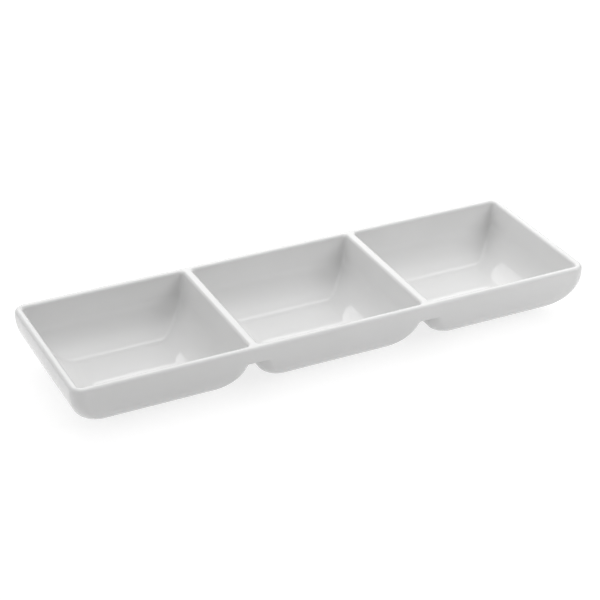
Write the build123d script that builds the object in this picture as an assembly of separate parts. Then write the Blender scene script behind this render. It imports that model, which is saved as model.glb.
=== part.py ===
from build123d import *
import os
from math import cos, radians, sin, sqrt, tan

# Long porcelain serving dish with three wells in a row under one rounded rim.
# Each well is a tub with curved walls and a flat floor. Two low dividers part the wells inside,
# and outside a rounded notch runs across the dish under each divider. Every tub stands on a foot ring.
# The real dish is one casting, so its named sections meet face to face on flat planes.
# X runs along the dish, Y from front to back and Z up. The origin is on the table, under the middle.

# Driving dimensions, in millimetres and degrees.
overall_length = 360.0
overall_width = 116.8
overall_height = 38.6
rim_thickness = 5.2
rim_crown = 0.1  # least flat left on top between two rounded edges, at the narrowest part
rim_band = 4.2  # height of the upright band below the rim's top
outer_corner_radius = 9.0
base_inset = 27.6  # how far the outer walls turn in between the band and the underside
divider_thickness = 6.0
divider_spacing = 121.0  # between the centre planes of the two dividers
divider_depth = 9.0  # from the rim's top to where a divider joins the walls of its wells
well_draft = 12.0  # lean of the straight part of the inner walls
well_floor_radius = 25.6  # curve from the inner walls to the floor
well_corner_radius = 2.6
floor_thickness = 3.0
notch_depth = 10.4  # from the rim's top to the crown of the notch under a divider
notch_arch_radius = 4.2
notch_arch_turn = 54.0  # how far round that arch the notch's walls turn before they meet at the crown
foot_height = 1.0
foot_width = 4.0
foot_setback = 3.5  # from the edge of a tub's underside in to its foot ring
foot_corner_radius = 2.0  # plan corners of the recess inside the foot ring
foot_edge = 0.3  # rounding where the foot ring is ground

# Values that follow from them.
half_length = overall_length / 2
half_width = overall_width / 2
divider_x = divider_spacing / 2
corner_shift = (sqrt(2) - 1) * (outer_corner_radius - well_corner_radius)
corner_wall = sqrt(2) * rim_thickness - corner_shift  # the rim's wall across a corner of the dish
edge_round = (min(rim_thickness, divider_thickness, corner_wall) - rim_crown) / 2
underside_depth = overall_height - foot_height
well_depth = underside_depth - floor_thickness
wall_drop = underside_depth - rim_band
wall_radius = (wall_drop**2 + base_inset**2) / (2 * base_inset)
notch_arch_foot = notch_depth + notch_arch_radius * sin(radians(notch_arch_turn))

# Each well lies between two planes across the dish: the dish's own ends and the dividers' centres.
cells = {
    "left": (-half_length, -divider_x),
    "middle": (-divider_x, divider_x),
    "right": (divider_x, half_length),
}
dividers = {"left": -divider_x, "right": divider_x}


def arc_inset(run, radius):
    """Sideways travel of an arc that sets out upright, after a run along its first direction."""
    if run <= 0:
        return 0.0
    return radius - sqrt(radius**2 - run**2)


def outer_inset(depth):
    """How far the outer walls stand inside the rim's edge at a depth below its top."""
    return arc_inset(depth - rim_band, wall_radius)


def notch_gap(depth):
    """Distance from a divider's centre plane to the tub walls on each side of the notch."""
    crown = arc_inset(notch_arch_foot - notch_depth, notch_arch_radius)
    widening = outer_inset(depth) - outer_inset(notch_depth)
    return crown + widening - arc_inset(notch_arch_foot - depth, notch_arch_radius)


def side_gap(plane_x, depth):
    """Distance from a cell's end plane to the tub's outer wall."""
    if abs(plane_x) == half_length:
        return outer_inset(depth)
    return notch_gap(depth)


def inner_wall(plane_x):
    """Distance from a cell's end plane to the mouth of its well."""
    if abs(plane_x) == half_length:
        return rim_thickness
    return divider_thickness / 2


def past_end(plane_x):
    """A cell's end plane, moved clear of the casting where it is the dish's own end."""
    if abs(plane_x) == half_length:
        return 2 * plane_x
    return plane_x


def section(x_min, x_max, half_depth, corner_radius, depth):
    """A rounded rectangle lying flat at a depth below the rim's top."""
    outline = RectangleRounded(x_max - x_min, 2 * half_depth, corner_radius)
    return Pos((x_min + x_max) / 2, 0, overall_height - depth) * outline


def block(x_min, x_max, y_min, y_max, z_min, z_max):
    """A plain box between two corners, used to part the casting."""
    size = Box(x_max - x_min, y_max - y_min, z_max - z_min)
    return Pos((x_min + x_max) / 2, (y_min + y_max) / 2, (z_min + z_max) / 2) * size


def band():
    """The upper part of the dish, one rounded rectangle from the rim's top to the notches' crown."""
    upright_foot = section(-half_length, half_length, half_width, outer_corner_radius, rim_band)
    upright = extrude(upright_foot, rim_band)
    steps = 3
    levels = []
    for step in range(steps + 1):
        depth = rim_band + (notch_depth - rim_band) * step / steps
        inset = outer_inset(depth)
        levels.append(
            section(inset - half_length, half_length - inset, half_width - inset, outer_corner_radius, depth)
        )
    return upright + loft(levels)


def tub(cell):
    """The outside of one well, from the notches' crown to its flat underside."""
    arch_steps = 4
    wall_steps = 8
    arch_rise = notch_arch_foot - notch_depth
    wall_rise = underside_depth - notch_arch_foot
    depths = [notch_depth + arch_rise * (step / arch_steps) ** 1.5 for step in range(arch_steps)]
    depths += [notch_arch_foot + wall_rise * step / wall_steps for step in range(wall_steps + 1)]
    levels = []
    for depth in depths:
        x_min = cell[0] + side_gap(cell[0], depth)
        x_max = cell[1] - side_gap(cell[1], depth)
        levels.append(section(x_min, x_max, half_width - outer_inset(depth), outer_corner_radius, depth))
    return loft(levels)


def hollow(cell):
    """The space inside one well: leaning walls, then a curve that runs out flat into the floor."""
    mouth_min = cell[0] + inner_wall(cell[0])
    mouth_max = cell[1] - inner_wall(cell[1])
    mouth_half = half_width - rim_thickness
    lean = radians(well_draft)

    def level(inset, depth):
        return section(mouth_min + inset, mouth_max - inset, mouth_half - inset, well_corner_radius, depth)

    straight_foot = well_depth - well_floor_radius * (1 - sin(lean))
    straight_inset = straight_foot * tan(lean)
    above_rim = rim_thickness
    walls = loft([level(-above_rim * tan(lean), -above_rim), level(straight_inset, straight_foot)])
    steps = 7
    curve = []
    for step in range(steps + 1):
        turn = lean + (radians(90) - lean) * step / steps
        inset = straight_inset + well_floor_radius * (cos(lean) - cos(turn))
        depth = straight_foot + well_floor_radius * (sin(turn) - sin(lean))
        curve.append(level(inset, depth))
    return walls + loft(curve)


def foot_ring(cell):
    """The low ring under one tub, standing proud of its underside."""
    x_min = cell[0] + side_gap(cell[0], underside_depth) + foot_setback
    x_max = cell[1] - side_gap(cell[1], underside_depth) - foot_setback
    half_depth = half_width - base_inset - foot_setback
    outside = section(x_min, x_max, half_depth, foot_corner_radius + foot_width, overall_height)
    recess_min = x_min + foot_width
    recess_max = x_max - foot_width
    recess = section(recess_min, recess_max, half_depth - foot_width, foot_corner_radius, overall_height)
    ring = extrude(outside - recess, foot_height)
    sole = ring.faces().sort_by(Axis.Z)[0]
    return fillet(sole.edges(), foot_edge)


def divider_zone(centre_x):
    """The box that holds one divider, between the rounded corners of its wells."""
    lean_out = divider_depth * tan(radians(well_draft))
    reach = divider_thickness / 2 + lean_out + rim_thickness
    run = half_width - rim_thickness - lean_out - well_corner_radius
    top = overall_height + rim_thickness
    return block(centre_x - reach, centre_x + reach, -run, run, overall_height - divider_depth, top)


hollows = {name: hollow(cell) for name, cell in cells.items()}
divider_zones = {name: divider_zone(x) for name, x in dividers.items()}

# The upper casting, with every edge of its top face rounded over.
upper = band()
for space in hollows.values():
    upper -= space
top_face = upper.faces().sort_by(Axis.Z)[-1]
upper = fillet(top_face.edges(), edge_round)

# Rim: the upright band, less the two dividers.
pieces = {}
band_foot = overall_height - rim_band
reach_x = overall_length
reach_y = overall_width
rim = upper & block(-reach_x, reach_x, -reach_y, reach_y, band_foot, 2 * overall_height)
for zone in divider_zones.values():
    rim -= zone
pieces["rim"] = rim

# Dividers: the webs between neighbouring wells.
for name, zone in divider_zones.items():
    pieces[name + "_divider"] = upper & zone

# Wells and their feet.
for name, cell in cells.items():
    zone_min = past_end(cell[0])
    zone_max = past_end(cell[1])
    shoulder = upper & block(zone_min, zone_max, -reach_y, reach_y, 0, band_foot)
    for zone in divider_zones.values():
        shoulder -= zone
    pieces[name + "_well"] = shoulder + (tub(cell) - hollows[name])
    pieces[name + "_foot"] = foot_ring(cell)

os.makedirs("parts", exist_ok=True)
for name, piece in pieces.items():
    export_step(piece, "parts/" + name + ".step")
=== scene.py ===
from math import cos, pi, radians, sin, sqrt, tan

import bmesh
import bpy
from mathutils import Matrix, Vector


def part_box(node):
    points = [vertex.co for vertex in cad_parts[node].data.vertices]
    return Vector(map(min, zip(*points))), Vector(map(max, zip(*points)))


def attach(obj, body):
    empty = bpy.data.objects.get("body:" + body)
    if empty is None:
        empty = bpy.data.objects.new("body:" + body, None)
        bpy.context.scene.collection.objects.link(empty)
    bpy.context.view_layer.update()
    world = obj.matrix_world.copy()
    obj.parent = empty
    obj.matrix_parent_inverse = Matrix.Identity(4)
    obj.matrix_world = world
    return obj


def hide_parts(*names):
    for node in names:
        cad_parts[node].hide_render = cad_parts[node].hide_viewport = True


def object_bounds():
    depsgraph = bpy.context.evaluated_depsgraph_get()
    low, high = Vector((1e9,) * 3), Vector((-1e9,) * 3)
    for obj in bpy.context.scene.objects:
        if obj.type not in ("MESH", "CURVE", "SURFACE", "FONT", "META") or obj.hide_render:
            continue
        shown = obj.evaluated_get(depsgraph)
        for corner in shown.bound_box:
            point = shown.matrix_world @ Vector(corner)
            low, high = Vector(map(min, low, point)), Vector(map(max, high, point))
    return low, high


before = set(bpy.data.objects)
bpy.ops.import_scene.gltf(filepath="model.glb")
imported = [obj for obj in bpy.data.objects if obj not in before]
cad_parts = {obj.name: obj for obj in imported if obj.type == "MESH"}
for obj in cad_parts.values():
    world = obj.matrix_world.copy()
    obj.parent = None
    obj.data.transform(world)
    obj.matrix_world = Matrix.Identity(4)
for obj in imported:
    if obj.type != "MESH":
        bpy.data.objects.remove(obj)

scene = bpy.context.scene
scene.view_settings.view_transform = "Standard"
cad_low, cad_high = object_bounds()

# The three wells are the tubs that hold the food, with leaning walls that curve into a flat floor.
# They are slip-cast porcelain in one piece with the rim, under one coat of clear gloss glaze.
# A well's section is carried round a rounded rectangle: once for the outside, once for the hollow.
dish_height = cad_high.z
half_length = cad_high.x
half_width = cad_high.y
rim_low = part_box("rim")[0]
rim_foot_depth = dish_height - rim_low.z
foot_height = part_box("left_foot")[1].z
divider_low, divider_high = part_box("right_divider")
divider_x = (divider_low.x + divider_high.x) / 2

rim_thickness = 0.0052
divider_thickness = 0.006
edge_round = 0.0023
wall_lean = radians(12)
floor_curve = 0.0256
floor_thickness = 0.003
well_corner = 0.0026
outer_corner = 0.009
base_inset = 0.0276
notch_depth = 0.0104
notch_arch = 0.0042
notch_turn = radians(54)

glaze_dark = (0.735, 0.735, 0.73, 1)
glaze_light = (0.785, 0.785, 0.785, 1)
speck_colour = (0.42, 0.40, 0.37, 1)
speck_depth = 0.35
speck_cutoff = 0.9

lip_steps = 10
floor_steps = 48
band_steps = 6
arch_steps = 8
wall_steps = 40
corner_steps = 16
weld_distance = 0.000002
sharp_angle = radians(35)

wall_drop = dish_height - foot_height - rim_foot_depth
wall_curve = (wall_drop**2 + base_inset**2) / (2 * base_inset)
arch_foot_depth = notch_depth + notch_arch * sin(notch_turn)

cells = {
    "left": (-half_length, -divider_x),
    "middle": (-divider_x, divider_x),
    "right": (divider_x, half_length),
}
dividers = {"left": -divider_x, "right": divider_x}
divider_reach = (divider_high.x - divider_low.x) / 2 + edge_round


def add_node(tree, kind, **settings):
    """A new node with its settings, such as an operation or a data type."""
    node = tree.nodes.new(kind)
    for name, value in settings.items():
        setattr(node, name, value)
    return node


def feed(tree, socket, value):
    """Links an output to a socket, or sets the socket's own value."""
    if isinstance(value, bpy.types.NodeSocket):
        tree.links.new(value, socket)
    else:
        socket.default_value = value


def reckon(tree, operation, *values):
    """The result of one arithmetic node."""
    node = add_node(tree, "ShaderNodeMath", operation=operation)
    for socket, value in zip(node.inputs, values):
        feed(tree, socket, value)
    return node.outputs[0]


def choose(tree, factor, first, second):
    """The first value where the factor is 0, and the second where it is 1."""
    node = add_node(tree, "ShaderNodeMix", data_type="FLOAT")
    for socket, value in zip(node.inputs, (factor, None, first, second)):
        if value is not None:
            feed(tree, socket, value)
    return node.outputs[0]


def make_wall_tree():
    """A tree that carries a section round a rounded rectangle, ring by ring from top to bottom.

    A section's points give the inset from the rectangle's edge and the height, and each point's radius
    is the corner radius of its ring. The left, right and side walls each have a section.
    """
    tree = bpy.data.node_groups.new("wall_round_a_rectangle", "GeometryNodeTree")
    sections = ("Left Section", "Right Section", "Side Section")
    for label in sections:
        tree.interface.new_socket(label, in_out="INPUT", socket_type="NodeSocketObject")
    for label in ("Left Edge", "Right Edge", "Half Width", "Capped"):
        tree.interface.new_socket(label, in_out="INPUT", socket_type="NodeSocketFloat")
    tree.interface.new_socket("Corner Steps", in_out="INPUT", socket_type="NodeSocketInt")
    tree.interface.new_socket("Finish", in_out="INPUT", socket_type="NodeSocketMaterial")
    tree.interface.new_socket("Wall", in_out="OUTPUT", socket_type="NodeSocketGeometry")
    given = add_node(tree, "NodeGroupInput").outputs

    lines = {}
    for label in sections:
        line = add_node(tree, "GeometryNodeObjectInfo")
        feed(tree, line.inputs["Object"], given[label])
        lines[label] = line.outputs["Geometry"]
    count = add_node(tree, "GeometryNodeAttributeDomainSize", component="CURVE")
    feed(tree, count.inputs["Geometry"], lines["Side Section"])
    rings = count.outputs["Point Count"]
    corner_points = reckon(tree, "ADD", given["Corner Steps"], 1.0)
    ring_points = reckon(tree, "MULTIPLY_ADD", corner_points, 4.0, 1.0)
    sheet = add_node(tree, "GeometryNodeMeshGrid")
    feed(tree, sheet.inputs["Vertices X"], rings)
    feed(tree, sheet.inputs["Vertices Y"], ring_points)

    # Half a point more keeps the whole-number steps clear of rounding.
    index = reckon(tree, "ADD", add_node(tree, "GeometryNodeInputIndex").outputs[0], 0.5)
    ring = reckon(tree, "FLOOR", reckon(tree, "DIVIDE", index, ring_points))
    place = reckon(tree, "SUBTRACT", index, reckon(tree, "MULTIPLY", ring, ring_points))
    corner = reckon(tree, "FLOOR", reckon(tree, "DIVIDE", place, corner_points))
    step = reckon(tree, "SUBTRACT", place, reckon(tree, "MULTIPLY_ADD", corner, corner_points, 0.5))
    turn = reckon(tree, "ADD", corner, reckon(tree, "DIVIDE", step, given["Corner Steps"]))
    angle = reckon(tree, "MULTIPLY", turn, pi / 2)
    quarter = reckon(tree, "FLOORED_MODULO", corner, 4.0)
    on_left = reckon(tree, "COMPARE", quarter, 1.5, 0.6)
    at_back = reckon(tree, "LESS_THAN", quarter, 1.5)

    insets, radii = {}, {}
    heights = None
    where = add_node(tree, "GeometryNodeInputPosition").outputs[0]
    thick = add_node(tree, "GeometryNodeInputRadius").outputs[0]
    for label in sections:
        spot = add_node(tree, "GeometryNodeSampleIndex", data_type="FLOAT_VECTOR")
        width = add_node(tree, "GeometryNodeSampleIndex", data_type="FLOAT")
        for node, value in ((spot, where), (width, thick)):
            feed(tree, node.inputs["Geometry"], lines[label])
            feed(tree, node.inputs["Value"], value)
            feed(tree, node.inputs["Index"], ring)
        parts = add_node(tree, "ShaderNodeSeparateXYZ")
        feed(tree, parts.inputs[0], spot.outputs["Value"])
        insets[label] = parts.outputs["X"]
        radii[label] = width.outputs["Value"]
        heights = parts.outputs["Z"]

    radius = choose(tree, on_left, radii["Right Section"], radii["Left Section"])
    from_left = reckon(tree, "ADD", given["Left Edge"], insets["Left Section"])
    from_right = reckon(tree, "SUBTRACT", given["Right Edge"], insets["Right Section"])
    left_middle = reckon(tree, "ADD", from_left, radius)
    right_middle = reckon(tree, "SUBTRACT", from_right, radius)
    corner_x = choose(tree, on_left, right_middle, left_middle)
    from_side = reckon(tree, "SUBTRACT", given["Half Width"], insets["Side Section"])
    side_middle = reckon(tree, "SUBTRACT", from_side, radius)
    corner_y = choose(tree, at_back, reckon(tree, "MULTIPLY", side_middle, -1.0), side_middle)
    ring_x = reckon(tree, "MULTIPLY_ADD", reckon(tree, "COSINE", angle), radius, corner_x)
    ring_y = reckon(tree, "MULTIPLY_ADD", reckon(tree, "SINE", angle), radius, corner_y)

    first = reckon(tree, "LESS_THAN", ring, 0.5)
    last = reckon(tree, "GREATER_THAN", ring, reckon(tree, "SUBTRACT", rings, 1.5))
    at_end = reckon(tree, "MULTIPLY", reckon(tree, "ADD", first, last), given["Capped"])
    both_edges = reckon(tree, "ADD", given["Left Edge"], given["Right Edge"])
    middle_x = reckon(tree, "MULTIPLY", both_edges, 0.5)
    point = add_node(tree, "ShaderNodeCombineXYZ")
    feed(tree, point.inputs["X"], choose(tree, at_end, ring_x, middle_x))
    feed(tree, point.inputs["Y"], choose(tree, at_end, ring_y, 0.0))
    feed(tree, point.inputs["Z"], heights)

    moved = add_node(tree, "GeometryNodeSetPosition")
    feed(tree, moved.inputs["Geometry"], sheet.outputs["Mesh"])
    feed(tree, moved.inputs["Position"], point.outputs[0])
    merged = add_node(tree, "GeometryNodeMergeByDistance")
    feed(tree, merged.inputs["Geometry"], moved.outputs[0])
    feed(tree, merged.inputs["Distance"], weld_distance)
    real = add_node(tree, "GeometryNodeRealizeInstances")
    feed(tree, real.inputs["Geometry"], merged.outputs[0])
    finished = add_node(tree, "GeometryNodeSetMaterial")
    feed(tree, finished.inputs["Geometry"], real.outputs[0])
    feed(tree, finished.inputs["Material"], given["Finish"])
    out = add_node(tree, "NodeGroupOutput")
    feed(tree, out.inputs["Wall"], finished.outputs[0])
    return tree


wall_tree = make_wall_tree()


def section_line(points):
    """A section as a line for the tree: inset, height and the ring's corner radius at each point."""
    line = bpy.data.curves.new("section", "CURVE")
    line.dimensions = "3D"
    spline = line.splines.new("POLY")
    spline.points.add(len(points) - 1)
    for point, (inset, height, corner) in zip(spline.points, points):
        point.co = (inset, 0, height, 1)
        point.radius = corner
    shown = bpy.data.objects.new("section", line)
    scene.collection.objects.link(shown)
    return shown


def plain_mesh(shape):
    """Gives a shape the mesh that its modifiers make, and takes the modifiers off."""
    graph = bpy.context.evaluated_depsgraph_get()
    mesh = bpy.data.meshes.new_from_object(shape.evaluated_get(graph))
    shape.modifiers.clear()
    shape.data = mesh
    mesh.name = shape.name
    return shape


def carry_section(name, edges, half_depth, left, right, side, finish, capped=True):
    """A closed shape with these left, right and side sections between two edges along the dish."""
    shape = bpy.data.objects.new(name, bpy.data.meshes.new(name))
    scene.collection.objects.link(shape)
    lines = [section_line(points) for points in (left, right, side)]
    values = {
        "Left Section": lines[0],
        "Right Section": lines[1],
        "Side Section": lines[2],
        "Left Edge": edges[0],
        "Right Edge": edges[1],
        "Half Width": half_depth,
        "Capped": 1.0 if capped else 0.0,
        "Corner Steps": corner_steps,
        "Finish": finish,
    }
    maker = shape.modifiers.new("wall", "NODES")
    maker.node_group = wall_tree
    for item in wall_tree.interface.items_tree:
        if item.in_out == "INPUT":
            maker[item.identifier] = values[item.name]
    plain_mesh(shape)
    for line in lines:
        bpy.data.objects.remove(line)
    return shape


def cut_away(shape, *spaces):
    """Takes the spaces out of a shape, and leaves its flats flat and its curves smooth."""
    for space in spaces:
        cut = shape.modifiers.new("cut", "BOOLEAN")
        cut.operation = "DIFFERENCE"
        cut.solver = "MANIFOLD"
        cut.object = space
    plain_mesh(shape)
    return smooth(shape)


def smooth(shape):
    """Smooth shading that leaves broad flats flat and keeps sharp edges sharp."""
    for face in shape.data.polygons:
        face.use_smooth = True
    shape.data.set_sharp_from_angle(angle=sharp_angle)
    weighting = shape.modifiers.new("flats", "WEIGHTED_NORMAL")
    weighting.keep_sharp = True
    return plain_mesh(shape)


def cut_block(name, low, high):
    """A plain block between two corners, used to part the casting."""
    mesh = bpy.data.meshes.new(name)
    shape = bmesh.new()
    bmesh.ops.create_cube(shape, size=1)
    for vertex in shape.verts:
        for axis in range(3):
            vertex.co[axis] = low[axis] if vertex.co[axis] < 0 else high[axis]
    shape.to_mesh(mesh)
    shape.free()
    block = bpy.data.objects.new(name, mesh)
    scene.collection.objects.link(block)
    return block


def make_glaze():
    """Clear gloss glaze on white porcelain: slow ripples, faint clouding and a few fine specks."""
    material = bpy.data.materials.new("white_glaze")
    material.use_nodes = True
    tree = material.node_tree
    shader = tree.nodes["Principled BSDF"]
    shader.inputs["IOR"].default_value = 1.5
    spot = add_node(tree, "ShaderNodeTexCoord").outputs["Object"]

    cloud = add_node(tree, "ShaderNodeTexNoise")
    feed(tree, cloud.inputs["Vector"], spot)
    cloud.inputs["Scale"].default_value = 22
    cloud.inputs["Detail"].default_value = 3
    body = add_node(tree, "ShaderNodeValToRGB")
    body.color_ramp.elements[0].color = glaze_dark
    body.color_ramp.elements[1].color = glaze_light
    feed(tree, body.inputs["Fac"], cloud.outputs["Fac"])

    speck = add_node(tree, "ShaderNodeTexVoronoi")
    feed(tree, speck.inputs["Vector"], spot)
    speck.inputs["Scale"].default_value = 120
    dot = add_node(tree, "ShaderNodeMapRange", interpolation_type="SMOOTHSTEP")
    feed(tree, dot.inputs["Value"], speck.outputs["Distance"])
    dot.inputs["From Min"].default_value = 0.02
    dot.inputs["From Max"].default_value = 0.05
    dot.inputs["To Min"].default_value = 1
    dot.inputs["To Max"].default_value = 0
    chance = add_node(tree, "ShaderNodeSeparateColor")
    feed(tree, chance.inputs[0], speck.outputs["Color"])
    rare = reckon(tree, "GREATER_THAN", chance.outputs[0], speck_cutoff)
    strength = reckon(tree, "MULTIPLY", reckon(tree, "MULTIPLY", dot.outputs[0], rare), speck_depth)
    colour = add_node(tree, "ShaderNodeMix", data_type="RGBA")
    feed(tree, colour.inputs[0], strength)
    feed(tree, colour.inputs[6], body.outputs["Color"])
    colour.inputs[7].default_value = speck_colour
    feed(tree, shader.inputs["Base Color"], colour.outputs[2])

    haze = add_node(tree, "ShaderNodeMapRange")
    feed(tree, haze.inputs["Value"], cloud.outputs["Fac"])
    haze.inputs["To Min"].default_value = 0.02
    haze.inputs["To Max"].default_value = 0.05
    feed(tree, shader.inputs["Roughness"], haze.outputs[0])

    ripple = add_node(tree, "ShaderNodeTexNoise")
    feed(tree, ripple.inputs["Vector"], spot)
    ripple.inputs["Scale"].default_value = 45
    ripple.inputs["Detail"].default_value = 2
    bump = add_node(tree, "ShaderNodeBump")
    bump.inputs["Strength"].default_value = 0.25
    bump.inputs["Distance"].default_value = 0.0004
    feed(tree, bump.inputs["Height"], ripple.outputs["Fac"])
    feed(tree, shader.inputs["Normal"], bump.outputs["Normal"])
    return material


glaze = make_glaze()


def arc_inset(run, radius):
    """Sideways travel of an arc that sets out upright, after a run along its first direction."""
    if run <= 0:
        return 0.0
    return radius - sqrt(radius**2 - run**2)


def outer_inset(depth):
    """How far the outer walls stand inside the rim's edge at a depth below its top."""
    return arc_inset(depth - rim_foot_depth, wall_curve)


def notch_gap(depth):
    """Distance from a divider's middle to the tub walls on each side of the notch under it."""
    crown = arc_inset(arch_foot_depth - notch_depth, notch_arch)
    widening = outer_inset(depth) - outer_inset(notch_depth)
    return crown + widening - arc_inset(arch_foot_depth - depth, notch_arch)


def evenly(start, end, steps):
    """The values from start to end, both included."""
    return [start + (end - start) * step / steps for step in range(steps + 1)]


def hollow_section():
    """Section of a well's inside: the rounded lip, the leaning wall, the curve and the floor."""
    lip_inset = -edge_round * (1 - sin(wall_lean)) / cos(wall_lean)
    lip_corner = well_corner - lip_inset
    above = dish_height + edge_round
    points = [(lip_inset, above, lip_corner), (lip_inset, above, lip_corner)]
    for turn in evenly(0, pi / 2 - wall_lean, lip_steps):
        inset = lip_inset + edge_round * sin(turn)
        depth = edge_round * (1 - cos(turn))
        points.append((inset, dish_height - depth, well_corner + depth * tan(wall_lean) - inset))
    floor_height = foot_height + floor_thickness
    straight_depth = dish_height - floor_height - floor_curve * (1 - sin(wall_lean))
    straight_inset = straight_depth * tan(wall_lean)
    for turn in evenly(wall_lean, pi / 2, floor_steps):
        inset = straight_inset + floor_curve * (cos(wall_lean) - cos(turn))
        depth = straight_depth + floor_curve * (sin(turn) - sin(wall_lean))
        points.append((inset, dish_height - depth, well_corner))
    points.append(points[-1])
    return points


def tub_sections():
    """Sections of a tub's outside, for a wall under the rim and for a wall beside a notch."""
    under_rim, by_notch = [], []
    arch = [arch_foot_depth - notch_arch * sin(turn) for turn in evenly(notch_turn, 0, arch_steps)]
    depths = [(depth, 0.0) for depth in evenly(rim_foot_depth, notch_depth, band_steps)]
    depths += [(depth, outer_corner) for depth in arch]
    lowest = dish_height - foot_height
    depths += [(depth, outer_corner) for depth in evenly(arch_foot_depth, lowest, wall_steps)[1:]]
    for depth, notch_corner in [depths[0], *depths, depths[-1]]:
        under_rim.append((outer_inset(depth), dish_height - depth, outer_corner))
        by_notch.append((max(0.0, notch_gap(max(depth, notch_depth))), dish_height - depth, notch_corner))
    return under_rim, by_notch


hollows = {}
for name, (start, end) in cells.items():
    wall_at_start = rim_thickness if name == "left" else divider_thickness / 2
    wall_at_end = rim_thickness if name == "right" else divider_thickness / 2
    mouth = (start + wall_at_start, end - wall_at_end)
    inside = hollow_section()
    hollows[name] = carry_section(
        name + "_hollow", mouth, half_width - rim_thickness, inside, inside, inside, glaze
    )

divider_blocks = {}
for name, middle in dividers.items():
    low = (middle - divider_reach, divider_low.y, divider_low.z)
    high = (middle + divider_reach, divider_high.y, dish_height + edge_round)
    divider_blocks[name] = cut_block(name + "_divider_block", low, high)

under_rim, by_notch = tub_sections()
for name, edges in cells.items():
    left_wall = under_rim if name == "left" else by_notch
    right_wall = under_rim if name == "right" else by_notch
    well = carry_section(
        name + "_well_glazed", edges, half_width, left_wall, right_wall, under_rim, glaze
    )
    cut_away(well, hollows[name], *divider_blocks.values())
    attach(well, "root")
    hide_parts(name + "_well")

# The two dividers are the low webs between neighbouring wells, as high as the rim and rounded on top.
# They are cast with the wells in the same porcelain and glaze, and each ends in the rim.
for name, middle in dividers.items():
    low = (middle - divider_reach, divider_low.y, divider_low.z)
    high = (middle + divider_reach, divider_high.y, dish_height)
    divider = cut_block(name + "_divider_glazed", low, high)
    divider.data.materials.append(glaze)
    beside = ("left", "middle") if name == "left" else ("middle", "right")
    cut_away(divider, *[hollows[side] for side in beside])
    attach(divider, "root")
    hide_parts(name + "_divider")

# The rim is the upright band round the top of the dish, with both of its edges rounded over.
# It is cast with the wells in the same porcelain and glaze, and ties them and the dividers together.
edge_steps = 12
rim_section = [(edge_round, dish_height, outer_corner - edge_round)]
for turn in evenly(0, pi / 2, edge_steps):
    inset = edge_round * (1 - sin(turn))
    rim_section.append((inset, dish_height - edge_round * (1 - cos(turn)), outer_corner - inset))
rim_section += [(0.0, rim_low.z, outer_corner), (0.0, rim_low.z, outer_corner)]
rim = carry_section(
    "rim_glazed", (-half_length, half_length), half_width, rim_section, rim_section, rim_section, glaze
)
cut_away(rim, *hollows.values(), *divider_blocks.values())
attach(rim, "root")
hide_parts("rim")

for space in (*hollows.values(), *divider_blocks.values()):
    bpy.data.objects.remove(space)

# Each well stands on a low foot ring, left bare of glaze so that the dish does not stick in the kiln.
# Its sole is ground flat after firing, and the ring keeps the glazed underside clear of the table.
foot_width = 0.004
foot_setback = 0.0035
foot_edge = 0.0003
recess_corner = 0.002
stain_colour = (0.70, 0.67, 0.62, 1)
bare_colour = (0.84, 0.82, 0.78, 1)
foot_edge_steps = 5


def make_bare_foot():
    """Unglazed white porcelain, ground smooth: dry and matt, with fine grain and a few stains."""
    material = bpy.data.materials.new("bare_foot")
    material.use_nodes = True
    tree = material.node_tree
    shader = tree.nodes["Principled BSDF"]
    spot = add_node(tree, "ShaderNodeTexCoord").outputs["Object"]
    stain = add_node(tree, "ShaderNodeTexNoise")
    feed(tree, stain.inputs["Vector"], spot)
    stain.inputs["Scale"].default_value = 90
    stain.inputs["Detail"].default_value = 5
    body = add_node(tree, "ShaderNodeValToRGB")
    body.color_ramp.elements[0].position = 0.3
    body.color_ramp.elements[0].color = stain_colour
    body.color_ramp.elements[1].position = 0.6
    body.color_ramp.elements[1].color = bare_colour
    feed(tree, body.inputs["Fac"], stain.outputs["Fac"])
    feed(tree, shader.inputs["Base Color"], body.outputs["Color"])
    grain = add_node(tree, "ShaderNodeTexNoise")
    feed(tree, grain.inputs["Vector"], spot)
    grain.inputs["Scale"].default_value = 2500
    grain.inputs["Detail"].default_value = 3
    dry = add_node(tree, "ShaderNodeMapRange")
    feed(tree, dry.inputs["Value"], grain.outputs["Fac"])
    dry.inputs["To Min"].default_value = 0.6
    dry.inputs["To Max"].default_value = 0.85
    feed(tree, shader.inputs["Roughness"], dry.outputs[0])
    bump = add_node(tree, "ShaderNodeBump")
    bump.inputs["Strength"].default_value = 0.4
    bump.inputs["Distance"].default_value = 0.00008
    feed(tree, bump.inputs["Height"], grain.outputs["Fac"])
    feed(tree, shader.inputs["Normal"], bump.outputs["Normal"])
    return material


bare_foot = make_bare_foot()


def foot_section():
    """Section of a foot ring: down its outer side, across the ground sole, up its inner side and back."""
    points = [(0.0, foot_height)]
    for turn in evenly(0, pi / 2, foot_edge_steps):
        points.append((foot_edge * (1 - cos(turn)), foot_edge * (1 - sin(turn))))
    for turn in evenly(0, pi / 2, foot_edge_steps):
        points.append((foot_width - foot_edge * (1 - sin(turn)), foot_edge * (1 - cos(turn))))
    points += [(foot_width, foot_height), points[0]]
    return [(inset, height, recess_corner + foot_width - inset) for inset, height in points]


for name, (start, end) in cells.items():
    under = dish_height - foot_height
    edge_at_start = outer_inset(under) if name == "left" else notch_gap(under)
    edge_at_end = outer_inset(under) if name == "right" else notch_gap(under)
    edges = (start + edge_at_start + foot_setback, end - edge_at_end - foot_setback)
    half_depth = half_width - outer_inset(under) - foot_setback
    ring = foot_section()
    foot = carry_section(name + "_foot_bare", edges, half_depth, ring, ring, ring, bare_foot, capped=False)
    smooth(foot)
    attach(foot, "root")
    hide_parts(name + "_foot")

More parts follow.
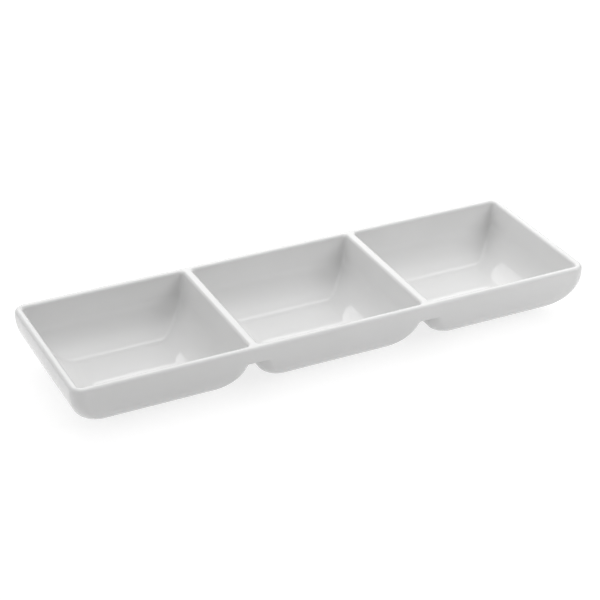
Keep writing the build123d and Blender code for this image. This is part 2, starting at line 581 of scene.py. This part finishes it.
# The dish stands on a matt white board, which runs on out of sight.
# The camera and the glaze's reflections see it lifted to white, with the dish's own soft shadow still on it.
table_reach = 30.0
table_thickness = 0.01
board_white = (0.9, 0.9, 0.9, 1)
shaded_grey = (0.3, 0.3, 0.3, 1)
lift_strength = 0.8
table = cut_block(
    "table", (-table_reach, -table_reach, -table_thickness), (table_reach, table_reach, 0.0)
)


def make_table_white():
    """Matt white board, with a lifted look for the camera, for reflections and for sight through glass."""
    material = bpy.data.materials.new("table_white")
    material.use_nodes = True
    tree = material.node_tree
    tree.nodes.clear()
    board = add_node(tree, "ShaderNodeBsdfDiffuse")
    board.inputs["Color"].default_value = board_white
    shaded = add_node(tree, "ShaderNodeBsdfDiffuse")
    shaded.inputs["Color"].default_value = shaded_grey
    lift = add_node(tree, "ShaderNodeEmission")
    lift.inputs["Strength"].default_value = lift_strength
    lifted = add_node(tree, "ShaderNodeAddShader")
    feed(tree, lifted.inputs[0], shaded.outputs[0])
    feed(tree, lifted.inputs[1], lift.outputs[0])
    path = add_node(tree, "ShaderNodeLightPath")
    shown = path.outputs["Is Camera Ray"]
    for ray in ("Is Glossy Ray", "Is Transmission Ray"):
        shown = reckon(tree, "ADD", shown, path.outputs[ray])
    either = add_node(tree, "ShaderNodeMixShader")
    for socket, value in zip(either.inputs, (shown, board.outputs[0], lifted.outputs[0])):
        feed(tree, socket, value)
    out = add_node(tree, "ShaderNodeOutputMaterial")
    feed(tree, out.inputs["Surface"], either.outputs[0])
    return material


table.data.materials.append(make_table_white())

# The studio: a dim room with soft glows overhead, on the right, low on the left and behind the dish.
# The glows shade off softly, as light from a bounced lamp does, and the room has no edges to be mirrored.
room_glows = {
    "overhead": {"toward": (0.0, 0.0, 1.0), "focus": 6.0, "strength": 2.35},
    "right": {"toward": (0.707, 0.0, 0.707), "focus": 4.0, "strength": 0.2},
    "left": {"toward": (-0.996, 0.0, 0.087), "focus": 4.0, "strength": 1.45},
    "back": {"toward": (0.0, 0.94, 0.342), "focus": 4.0, "strength": 1.1},
}
world = bpy.data.worlds.new("dim_room")
scene.world = world
world.use_nodes = True
tree = world.node_tree
tree.nodes.clear()
direction = add_node(tree, "ShaderNodeTexCoord").outputs["Generated"]
level = 0.0
for glow in room_glows.values():
    facing = add_node(tree, "ShaderNodeVectorMath", operation="DOT_PRODUCT")
    feed(tree, facing.inputs[0], direction)
    facing.inputs[1].default_value = glow["toward"]
    toward = reckon(tree, "MAXIMUM", facing.outputs["Value"], 0.0)
    spread = reckon(tree, "POWER", toward, glow["focus"])
    level = reckon(tree, "MULTIPLY_ADD", spread, glow["strength"], level)
room = add_node(tree, "ShaderNodeBackground")
feed(tree, room.inputs["Strength"], level)
out = add_node(tree, "ShaderNodeOutputWorld")
feed(tree, out.inputs["Surface"], room.outputs[0])


def softbox(name, middle, aim, size, glow):
    """A rectangular area lamp at a place, facing a point, as bright as a surface of this glow."""
    lamp = bpy.data.lights.new(name, "AREA")
    lamp.shape = "RECTANGLE"
    lamp.size, lamp.size_y = size
    lamp.energy = glow * pi * size[0] * size[1]
    holder = bpy.data.objects.new(name, lamp)
    holder.location = middle
    holder.rotation_mode = "QUATERNION"
    holder.rotation_quaternion = (Vector(aim) - Vector(middle)).to_track_quat("-Z", "Y")
    holder.visible_camera = False
    scene.collection.objects.link(holder)
    return holder


# A broad softbox hangs low behind the dish and to its right. The glaze mirrors it along the back of each
# floor, over the front rim and in the patches on the right.
softbox("back_softbox", middle=(0.412, 0.83, 0.44), aim=(0.412, 0.83, 0.0), size=(1.0, 1.2), glow=1.55)

# A smaller fill stands in front on the right, kept out of the glaze's reflections.
fill = softbox("front_fill", middle=(0.75, -0.75, 0.65), aim=(0.1, 0.0, 0.0), size=(0.6, 0.6), glow=3.95)
fill.visible_glossy = False

# The camera stands in front of the dish and to its left, looking down on it, at the photographed angle.
camera_azimuth = radians(-25.875)
camera_elevation = radians(29.404)
lens = bpy.data.cameras.new("camera")
lens.sensor_width = 36.0
lens.lens = 109.365
camera = bpy.data.objects.new("camera", lens)
camera.location = (-0.45504, -0.93131, 0.61227)
back = Vector((
    sin(camera_azimuth) * cos(camera_elevation),
    -cos(camera_azimuth) * cos(camera_elevation),
    sin(camera_elevation),
))
camera.rotation_mode = "QUATERNION"
camera.rotation_quaternion = (-back).to_track_quat("-Z", "Y")
scene.collection.objects.link(camera)
scene.camera = camera
